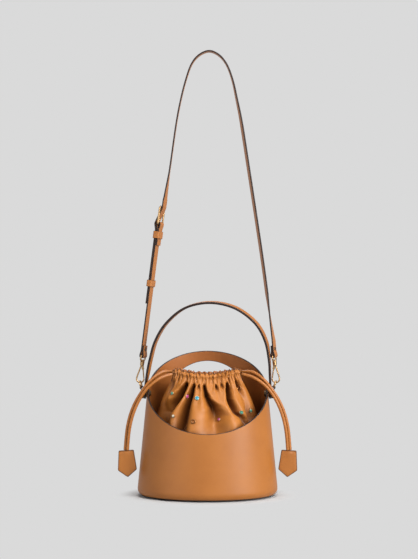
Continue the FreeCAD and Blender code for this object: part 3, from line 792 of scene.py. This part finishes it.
def keeper_band(name, u_low, height, n_low, n_high, play, body, node):
    wall = 1.6
    a, b = n_low - play - wall / 2, n_high + play + wall / 2
    half = STRAP_WIDTH / 2 + play + wall / 2
    mid = u_low + height / 2
    corners = [Vector((b, 0, mid)), Vector((b, half, mid)), Vector((a, half, mid)), Vector((a, -half, mid)),
               Vector((b, -half, mid)), Vector((b, -0.01, mid))]
    path = rounded(corners, [1.4, 1.4, 1.4, 1.4], 0.7)[:-1]
    up = LEFT.to_3x3() @ Vector((0, 0, 1))
    band_mesh(name, into(LEFT, path), constant(up), height, wall, LEATHERS, closed=True,
              body=body, replaces=(node,))


KEEPER_TOP = TAIL + STRAP / 2
keeper_band("keeper_fixed_leather", 235, 12, -LAYER - STRAP / 2, KEEPER_TOP, 0.1,
            "strap_loop", "keeper_fixed")
keeper_band("keeper_sliding_leather", 155.5, 11, LAYER - STRAP / 2, KEEPER_TOP, 0.4,
            "keeper", "keeper_sliding")

# ---------------------------------------------------------------- top handle
HANDLE_WIDTH = 15.0
HANDLE_THICK = 3.8
HANDLE_LINE = [
    (-102.8, 157.5), (-102.8, 162), (-102.8, 166), (-102.7, 171), (-100.4, 185), (-97.2, 202), (-92.6, 224),
    (-84.0, 253.6), (-66.0, 283), (-35.7, 307.5), (4.3, 316.2), (45.3, 307.5), (78.3, 283), (95.0, 253.6),
    (100.6, 224), (102.2, 196), (102.7, 176), (102.8, 166), (102.8, 162), (102.8, 157.5),
]
to_pivot = Matrix.Translation((0, 0, PIVOT_Z))
lean = to_pivot @ Matrix.Rotation(math.radians(6.0), 4, "X") @ to_pivot.inverted()
handle_flat = resample(catmull([Vector((x, 0, z)) for x, z in HANDLE_LINE], 14), 2.0)


def handle_turn(p):
    if p.x < 0:
        return math.radians(15.0 * clamp((p.z - 174.0) / 30.0))
    return math.radians(5.0 * clamp((p.z - 178.0) / 18.0) + 10.0 * clamp((p.z - 212.0) / 35.0))


def end_width(z, full, radius, centre):
    if z >= centre:
        return full
    return 2 * math.sqrt(max(radius * radius - (centre - z) ** 2, 0.4))


handle_widths = [end_width(p.z, HANDLE_WIDTH, HANDLE_WIDTH / 2, PIVOT_Z) for p in handle_flat]
handle_path = into(lean, handle_flat)


def handle_across(i, p):
    yaw = handle_turn(handle_flat[i])
    return lean.to_3x3() @ Vector((math.sin(yaw), math.cos(yaw), 0))


band_mesh("handle_leather", handle_path, handle_across, HANDLE_WIDTH, HANDLE_THICK, LEATHERS,
          widths=handle_widths, body="handle", replaces=("handle_outer", "handle_lining"))
inner_run = [i for i, p in enumerate(handle_flat) if p.z > 174]
handle_mid = handle_path[inner_run[0]:inner_run[-1] + 1]


def handle_mid_across(i, p):
    return handle_across(i + inner_run[0], p)


stitches("handle_stitches", edge_lines(handle_mid, handle_mid_across, 5.4, HANDLE_THICK), "handle")


# ---------------------------------------------------------------- ring tabs
def ring_tab(side):
    sign = -1 if side == "left" else 1
    centre = Vector((108.2, 0, 175.75))
    points = [Vector((105.6, 0, 158.0)), Vector((105.6, 0, 175.0))]
    for k in range(19):
        a = math.radians(12 * k)
        points.append(centre + Vector((-math.cos(a), 0, math.sin(a))) * 2.6)
    points += [Vector((106.9, 0, 171.6)), Vector((106.85, 0, 169.0)), Vector((106.8, 0, 158.0))]
    path = resample([Vector((p.x * sign, p.y, p.z)) for p in points], 0.6)
    widths = []
    for p in path:
        if p.z > 172.5:
            widths.append(5.6)
        elif p.z > 168.5:
            widths.append(mix(12.0, 5.6, (p.z - 168.5) / 4.0))
        else:
            widths.append(end_width(p.z, 12.0, 6.0, 164.0))
    band_mesh("ring_tab_leather_" + side, path, constant(Vector((0, 1, 0))), 12.0, 1.15, LEATHERS,
              widths=widths, body="strap_loop", replaces=("ring_tab_" + side,))


ring_tab("left")
ring_tab("right")

# ---------------------------------------------------------------- drawcords and their tabs
BACK_END = [
    (-56.5, 5.5, 201), (-70, -1, 203.5), (-83, -7, 197), (-95, -12, 186.5), (-105, -15, 173.5),
    (-116, -16, 157), (-125, -15.5, 137), (-130.5, -14.5, 116), (-133.2, -13.6, 95), (-134.6, -13.1, 75),
]
FRONT_END = [
    (-56.5, -6.5, 198), (-68.5, -13, 196), (-81.5, -18, 190), (-94.5, -20.5, 180), (-105, -21, 167.5),
    (-114, -20.8, 152), (-121.3, -20, 134), (-126.2, -18.8, 115), (-129, -17.3, 95), (-130.3, -16.1, 75),
]
CORD = 5.0


def nurbs_route(points):
    """Points read off the smooth cord line that the given points steer."""
    curve = bpy.data.curves.new("route", "CURVE")
    curve.dimensions = "3D"
    part = curve.splines.new("NURBS")
    part.points.add(len(points) - 1)
    for spot, p in zip(part.points, points):
        spot.co = (p[0] * MM, p[1] * MM, p[2] * MM, 1)
    part.order_u = 3
    part.use_endpoint_u = True
    part.resolution_u = 16
    holder = bpy.data.objects.new("route", curve)
    line = bpy.data.meshes.new_from_object(holder)
    out = [v.co / MM for v in line.vertices]
    bpy.data.objects.remove(holder)
    return resample(out, 1.0)


def cord_mesh(name, points, body, nodes):
    """Sewn leather cord: round with a slightly raised seam along it."""
    ring = 16
    verts, faces = [], []
    up = Vector((0, 0, 1))
    for i, p in enumerate(points):
        way = (points[min(i + 1, len(points) - 1)] - points[max(i - 1, 0)]).normalized()
        side = way.cross(up).normalized() if i == 0 else (last_side - way * last_side.dot(way)).normalized()
        last_side = side
        top = side.cross(way).normalized()
        for k in range(ring):
            a = 2 * math.pi * k / ring
            seam = 0.32 * math.exp(-((k - 5) / 0.7) ** 2) if k < 11 else 0.0
            r = CORD / 2 * (0.985 + 0.015 * math.sin(i * 0.7)) + seam * 0.5
            verts.append(p + (side * math.cos(a) + top * math.sin(a)) * r)
    for i in range(len(points) - 1):
        for k in range(ring):
            m = (k + 1) % ring
            faces.append((i * ring + k, i * ring + m, (i + 1) * ring + m, (i + 1) * ring + k))
    faces.append(tuple(reversed(range(ring))))
    faces.append(tuple((len(points) - 1) * ring + k for k in range(ring)))
    return make_mesh(name, verts, faces, [CORD_SKIN], body=body, replaces=nodes)


TAB_CENTRE = (-132.6, -14.6, 73.6)


def tab_outline(half_top=12.3, half_wide=15.5, shoulder=31.0, length=43.0, top=1.1):
    corners = [Vector((-half_top, 0, top)), Vector((half_top, 0, top)), Vector((half_wide, 0, -shoulder)),
               Vector((0, 0, -length)), Vector((-half_wide, 0, -shoulder))]
    out = []
    count = len(corners)
    for i, p in enumerate(corners):
        back = (corners[i - 1] - p).normalized()
        ahead = (corners[(i + 1) % count] - p).normalized()
        for k in range(6):
            t = k / 5
            a, b = p + back * 1.6, p + ahead * 1.6
            out.append(a.lerp(p, t).lerp(p.lerp(b, t), t))
    return resample(out, 1.3, closed=True)


def cord_tab(side):
    sign = -1 if side == "right" else 1
    outline = tab_outline()
    turn = Matrix.Translation(TAB_CENTRE) @ Matrix.Rotation(math.radians(-3.6), 4, "Y")

    def placed(v):
        w = turn @ v
        return Vector((w.x * sign, w.y, w.z))

    count = len(outline)
    middle = Vector((0, 0, -19.0))
    for face, front in (("front", -1), ("back", 1)):
        rings = []
        thick = 2.25
        shape = [
            (1.0, 0.05, 0), (1.0, 0.5, 2), (0.992, 0.8, 2), (0.972, 0.97, 2), (0.93, 1.0, 0),
            (0.90, 0.93, 0), (0.86, 1.03, 0), (0.7, 1.1, 0), (0.45, 1.12, 0), (0.2, 1.12, 0),
        ]
        for scale, lift, _ in shape:
            ring = []
            for p in outline:
                q = middle + (p - middle) * scale
                swell = math.exp(-((q.x + 2.3) / 3.4) ** 2) + math.exp(-((q.x - 2.3) / 3.4) ** 2)
                swell *= 0.9 * math.exp(-((q.z + 3) / 9.0) ** 2)
                ring.append(Vector((q.x, front * (thick * lift + swell * clamp(lift)), q.z)))
            rings.append(ring)
        verts = [placed(v) for ring in rings for v in ring]
        faces, index = [], []
        for r in range(len(rings) - 1):
            for k in range(count):
                m = (k + 1) % count
                quad = (r * count + k, r * count + m, (r + 1) * count + m, (r + 1) * count + k)
                faces.append(quad if front * sign > 0 else quad[::-1])
                index.append(2 if shape[r][2] == 2 or r == 0 else 0)
        cap = tuple((len(rings) - 1) * count + k for k in range(count))
        faces.append(cap if front * sign > 0 else cap[::-1])
        index.append(0)
        flat = tuple(range(count))
        faces.append(flat[::-1] if front * sign > 0 else flat)
        index.append(1)
        make_mesh("cord_tab_%s_leather_%s" % (face, side), verts, faces, [TAN, INNER, EDGE_SOFT], index,
                  body="cord_tab_" + side, replaces=("cord_tab_%s_%s" % (face, side),))
        seam = []
        for p in outline + [outline[0]]:
            q = middle + (p - middle) * 0.895
            seam.append((placed(Vector((q.x, front * thick * 0.97, q.z))), Vector((0, front, 0))))
        stitches("cord_tab_%s_stitches_%s" % (face, side), [seam], "cord_tab_" + side, 2.9, 1.9, 0.24)


for side, sign in (("left", 1), ("right", -1)):
    cord_tab(side)
    for label, spots in (("back", BACK_END), ("front", FRONT_END)):
        route = nurbs_route([(x * sign, y, z) for x, y, z in spots])
        node = "cord_end_%s_%s" % (label, side)
        obj = cord_mesh(node + "_leather", route, None, (node,))
        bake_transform(obj)


# ---------------------------------------------------------------- stones and eyelets on the pouch
def ray_on(pieces, x, z):
    """Point and outward direction where a line along +Y first meets one of the pieces."""
    deps = bpy.context.evaluated_depsgraph_get()
    hits = []
    for obj in pieces:
        tree = BVHTree.FromObject(obj, deps)
        hit, normal, _, far = tree.ray_cast(Vector((x, -150, z)) * MM, Vector((0, 1, 0)))
        if hit:
            hits.append((far, hit / MM, normal))
    return min(hits, key=lambda h: h[0])[1:]


def lathe(profile, centre, axis, sides):
    """Turned form: profile is a list of (radius, height) along the axis."""
    ref = Vector((0, 0, 1)) if abs(axis.z) < 0.9 else Vector((1, 0, 0))
    u = axis.cross(ref).normalized()
    v = axis.cross(u).normalized()
    verts, faces = [], []
    for radius, height in profile:
        for k in range(sides):
            a = 2 * math.pi * k / sides
            verts.append(centre + axis * height + (u * math.cos(a) + v * math.sin(a)) * radius)
    for r in range(len(profile) - 1):
        for k in range(sides):
            m = (k + 1) % sides
            faces.append((r * sides + k, r * sides + m, (r + 1) * sides + m, (r + 1) * sides + k))
    faces.append(tuple(reversed(range(sides))))
    faces.append(tuple((len(profile) - 1) * sides + k for k in range(sides)))
    return verts, faces


def join(parts):
    verts, faces = [], []
    for vs, fs in parts:
        base = len(verts)
        verts += vs
        faces += [tuple(i + base for i in f) for f in fs]
    return verts, faces


GEMS = {
    "stones_green": [(-57.5, 168.0, 2.6), (54.5, 138.5, 3.0), (70.0, 139.0, 2.6)],
    "stones_magenta": [(-33.5, 164.0, 3.2), (18.5, 127.5, 2.6)],
    "stones_turquoise": [(-17.0, 161.5, 3.6)],
    "stones_clear": [(-55.5, 133.0, 2.4)],
}
EYELETS = [(-22.5, 126.0), (51.5, 176.0)]
settings = []
for name, stones in GEMS.items():
    cut = []
    for x, z, radius in stones:
        point, way = ray_on(SKINS, x, z)
        facets = [
            (radius, 0.4), (radius, 0.9), (radius * 0.86, 1.5), (radius * 0.55, 2.1), (radius * 0.5, 2.2),
        ]
        cup = [
            (radius + 0.5, -1.0), (radius + 0.6, 0.5), (radius + 0.3, 1.0), (radius, 1.0),
            (radius * 0.95, 0.3),
        ]
        cut.append(lathe(facets, point, way, 8))
        settings.append(lathe(cup, point, way, 20))
        for k in range(4):
            a = math.pi / 4 + k * math.pi / 2
            ref = way.cross(Vector((0, 0, 1))).normalized()
            spot = point + (ref * math.cos(a) + way.cross(ref) * math.sin(a)) * (radius * 0.93)
            settings.append(lathe([(0.45, 0.3), (0.45, 1.3), (0.25, 1.6)], spot, way, 8))
    verts, faces = join(cut)
    make_mesh(name + "_cut", verts, faces, [STONES[name]], replaces=(name,),
              slot=name.replace("stones", "stone"), smooth_shade=False)
verts, faces = join(settings)
make_mesh("stone_settings_metal", verts, faces, [GOLD], replaces=("stone_settings",), slot="pale_gold")
EYELET_PROFILE = [(3.9, -1.2), (4.1, 0.7), (3.6, 1.4), (2.9, 1.6), (2.3, 1.2), (1.9, 0.3), (1.7, -0.5)]
rings = []
for x, z in EYELETS:
    point, way = ray_on(SKINS, x, z)
    rings.append(lathe(EYELET_PROFILE, point, way, 24))
verts, faces = join(rings)
make_mesh("eyelets_metal", verts, faces, [COPPER], replaces=("eyelets",), slot="pale_gold")

# ---------------------------------------------------------------- carried-over solids
FINISH = {
    "pale_gold": GOLD, "tan_leather": TAN, "dark_lining": INNER, "board": BOARD, "pouch_leather": POUCH,
}
slots = {part["node"]: part["material_slot"] for part in frame["record"]["subparts"]}
for name, obj in NODES.items():
    # Rivets take the dark brass with painted shade.
    finish = SHADED_BRASS if "rivet" in name else FINISH.get(slots.get(name), TAN)
    obj.data.materials.clear()
    obj.data.materials.append(finish)
    obj.data.polygons.foreach_set("material_index", [0] * len(obj.data.polygons))
    obj.data.polygons.foreach_set("use_smooth", [True] * len(obj.data.polygons))
    split = obj.modifiers.new("crisp", "EDGE_SPLIT")
    split.split_angle = math.radians(32)


# ---------------------------------------------------------------- studio
def studio_floor():
    size, rings, sides = 9.0, 40, 64
    verts = [(0, 0, 0)]
    faces = []
    for r in range(1, rings + 1):
        radius = size * (r / rings) ** 2
        for k in range(sides):
            a = 2 * math.pi * k / sides
            verts.append((radius * math.cos(a), radius * math.sin(a), 0))
    faces += [(0, 1 + k, 1 + (k + 1) % sides) for k in range(sides)]
    for r in range(rings - 1):
        for k in range(sides):
            a, b = 1 + r * sides, 1 + (r + 1) * sides
            m = (k + 1) % sides
            faces.append((a + k, b + k, b + m, a + m))
    mesh = bpy.data.meshes.new("floor")
    mesh.from_pydata(verts, [], faces)
    obj = bpy.data.objects.new("floor", mesh)
    bpy.context.scene.collection.objects.link(obj)
    obj.location.z = -0.0004
    mat, tree, shader = new_material("floor_paper")
    nodes, links = tree.nodes, tree.links
    coord = nodes.new("ShaderNodeTexCoord")
    squash = nodes.new("ShaderNodeMapping")
    squash.inputs["Scale"].default_value = (1.0, 1.28, 1.0)
    away = nodes.new("ShaderNodeVectorMath")
    away.operation = "LENGTH"
    links.new(coord.outputs["Object"], squash.inputs["Vector"])
    links.new(squash.outputs["Vector"], away.inputs[0])
    fade = nodes.new("ShaderNodeMapRange")
    fade.interpolation_type = "SMOOTHSTEP"
    fade.inputs["From Min"].default_value = 0.108
    fade.inputs["From Max"].default_value = 0.154
    links.new(away.outputs["Value"], fade.inputs["Value"])
    glow = nodes.new("ShaderNodeEmission")
    glow.inputs["Color"].default_value = (BACKDROP, BACKDROP, BACKDROP, 1)
    blend = nodes.new("ShaderNodeMixShader")
    shader.inputs["Base Color"].default_value = (0.455, 0.455, 0.455, 1)
    shader.inputs["Roughness"].default_value = 0.9
    shader.inputs["Specular IOR Level"].default_value = 0.1
    links.new(fade.outputs["Result"], blend.inputs["Fac"])
    links.new(shader.outputs["BSDF"], blend.inputs[1])
    links.new(glow.outputs["Emission"], blend.inputs[2])
    links.new(blend.outputs["Shader"], nodes["Material Output"].inputs["Surface"])
    mesh.materials.append(mat)


def area_light(name, place, target, size, power, colour=(1, 1, 1)):
    light = bpy.data.lights.new(name, "AREA")
    light.shape = "RECTANGLE"
    light.size, light.size_y = size
    light.energy = power
    light.color = colour
    obj = bpy.data.objects.new(name, light)
    bpy.context.scene.collection.objects.link(obj)
    obj.location = place
    obj.rotation_euler = (Vector(target) - Vector(place)).to_track_quat("-Z", "Y").to_euler()


studio_floor()
world = bpy.data.worlds.new("studio")
bpy.context.scene.world = world
world.use_nodes = True
sky = world.node_tree
shell_coord = sky.nodes.new("ShaderNodeTexCoord")
split_z = sky.nodes.new("ShaderNodeSeparateXYZ")
sky.links.new(shell_coord.outputs["Generated"], split_z.inputs[0])
up_fade = sky.nodes.new("ShaderNodeMapRange")
up_fade.interpolation_type = "SMOOTHSTEP"
up_fade.inputs["From Min"].default_value = 0.24
up_fade.inputs["From Max"].default_value = 0.5
up_fade.inputs["To Min"].default_value = BACKDROP
up_fade.inputs["To Max"].default_value = 0.14
sky.links.new(split_z.outputs["Z"], up_fade.inputs["Value"])
sky.links.new(up_fade.outputs["Result"], sky.nodes["Background"].inputs["Color"])
sky.nodes["Background"].inputs["Strength"].default_value = 1.0
area_light("strip_right", (1.45, -1.25, 0.7), (0, 0, 0.2), (0.36, 1.5), 34)
area_light("key_front_right", (1.1, -1.7, 1.7), (0, 0, 0.2), (0.8, 0.8), 44)
area_light("top", (0.2, -0.2, 2.3), (0, 0, 0.2), (1.3, 1.3), 34)
area_light("fill_left", (-1.5, -1.7, 0.7), (0, 0, 0.2), (1.4, 1.4), 11)
area_light("back_high", (-0.4, 1.7, 2.0), (0, 0, 0.2), (1.2, 1.2), 18)

camera_data = bpy.data.cameras.new("camera")
camera = bpy.data.objects.new("camera", camera_data)
bpy.context.scene.collection.objects.link(camera)
camera.location = (0.0023, -2.411, 0.3528)
camera.rotation_euler = (math.radians(90), 0, 0)
camera_data.sensor_fit = "AUTO"
camera_data.sensor_width = 36.0
camera_data.lens = 94.7
camera_data.clip_start = 0.05
camera_data.clip_end = 60
bpy.context.scene.camera = camera
bpy.context.scene.view_settings.view_transform = "Standard"
bpy.context.scene.view_settings.look = "None"
